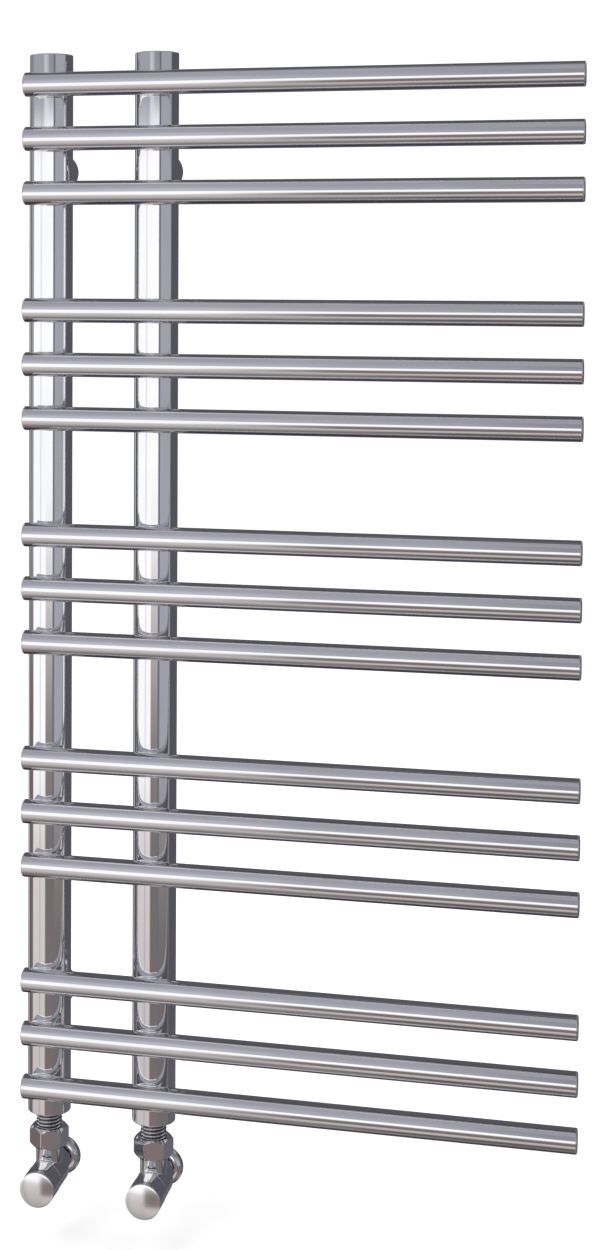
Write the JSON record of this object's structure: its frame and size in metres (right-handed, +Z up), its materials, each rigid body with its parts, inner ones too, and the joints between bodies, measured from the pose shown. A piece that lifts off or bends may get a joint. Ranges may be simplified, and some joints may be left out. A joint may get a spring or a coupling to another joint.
{
  "type": "towel radiator",
  "caption": "Wall-hung chrome towel radiator: round cross bars in groups stand out to one side of two upright collectors, each ending in an angle valve with a round turning handle.",
  "frame": {"origin": "on the wall plane, midway between the two collectors and at mid-height of the bars", "axes": "+Z up, +X to the side the bars stand out to, +Y into the wall"},
  "size_m": [0.503, 0.0855, 1.0555],
  "materials": {
    "chrome": "bright mirror chrome plate",
    "steel": "plain turned steel",
    "brass": "turned brass, unplated",
    "rubber": "black moulded rubber"
  },
  "bodies": {
    "radiator": {"bar_01": "chrome", "bar_02": "chrome", "bar_03": "chrome", "bar_04": "chrome", "bar_05": "chrome", "bar_06": "chrome", "bar_07": "chrome", "bar_08": "chrome", "bar_09": "chrome", "bar_10": "chrome", "bar_11": "chrome", "bar_12": "chrome", "bar_13": "chrome", "bar_14": "chrome", "bar_15": "chrome", "collector_1": "chrome", "collector_2": "chrome", "collector_cap_1": "chrome", "collector_cap_2": "chrome", "collector_bush_1": "steel", "collector_bush_2": "steel", "bracket_boss_upper_1": "chrome", "wall_sleeve_upper_1": "chrome", "bracket_boss_upper_2": "chrome", "wall_sleeve_upper_2": "chrome", "bracket_boss_lower_1": "chrome", "wall_sleeve_lower_1": "chrome", "bracket_boss_lower_2": "chrome", "wall_sleeve_lower_2": "chrome", "valve_body_1": "chrome", "union_nut_1": "chrome", "tailpiece_1": "chrome", "tail_washer_1": "rubber", "bonnet_1": "brass", "spindle_seal_1": "rubber", "pipe_nut_1": "chrome", "inlet_pipe_1": "chrome", "rose_1": "chrome", "valve_body_2": "chrome", "union_nut_2": "chrome", "tailpiece_2": "chrome", "tail_washer_2": "rubber", "bonnet_2": "brass", "spindle_seal_2": "rubber", "pipe_nut_2": "chrome", "inlet_pipe_2": "chrome", "rose_2": "chrome"},
    "handle_left": {"handle_1": "chrome", "handle_screw_1": "steel", "handle_cap_1": "chrome", "spindle_1": "brass"},
    "disc_left": {"disc_carrier_1": "brass", "valve_disc_1": "rubber"},
    "handle_right": {"handle_2": "chrome", "handle_screw_2": "steel", "handle_cap_2": "chrome", "spindle_2": "brass"},
    "disc_right": {"disc_carrier_2": "brass", "valve_disc_2": "rubber"},
    "vent_screw": {"vent_screw": "brass"}
  },
  "joints": [
    {"name": "handle_turn_left", "type": "hinge", "parent": "radiator", "child": "handle_left", "pos_m": [-0.05, -0.043, -0.54895], "axis": [0, -1, 0], "range_deg": [0, 720]},
    {"name": "disc_lift_left", "type": "slide", "parent": "handle_left", "child": "disc_left", "axis": [0, -1, 0], "range_m": [0, 0.0031]},
    {"name": "handle_turn_right", "type": "hinge", "parent": "radiator", "child": "handle_right", "pos_m": [0.05, -0.043, -0.54895], "axis": [0, -1, 0], "range_deg": [0, 720]},
    {"name": "disc_lift_right", "type": "slide", "parent": "handle_right", "child": "disc_right", "axis": [0, -1, 0], "range_m": [0, 0.0031]},
    {"name": "vent_turn", "type": "hinge", "parent": "radiator", "child": "vent_screw", "pos_m": [0.05, -0.043, 0.47225], "axis": [0, 1, 0], "range_deg": [0, 360]}
  ],
  "couplings": [
    {"joint": "disc_lift_left", "follows": "handle_turn_left", "m_per_rad": 0.00023873},
    {"joint": "disc_lift_right", "follows": "handle_turn_right", "m_per_rad": 0.00023873}
  ]
}
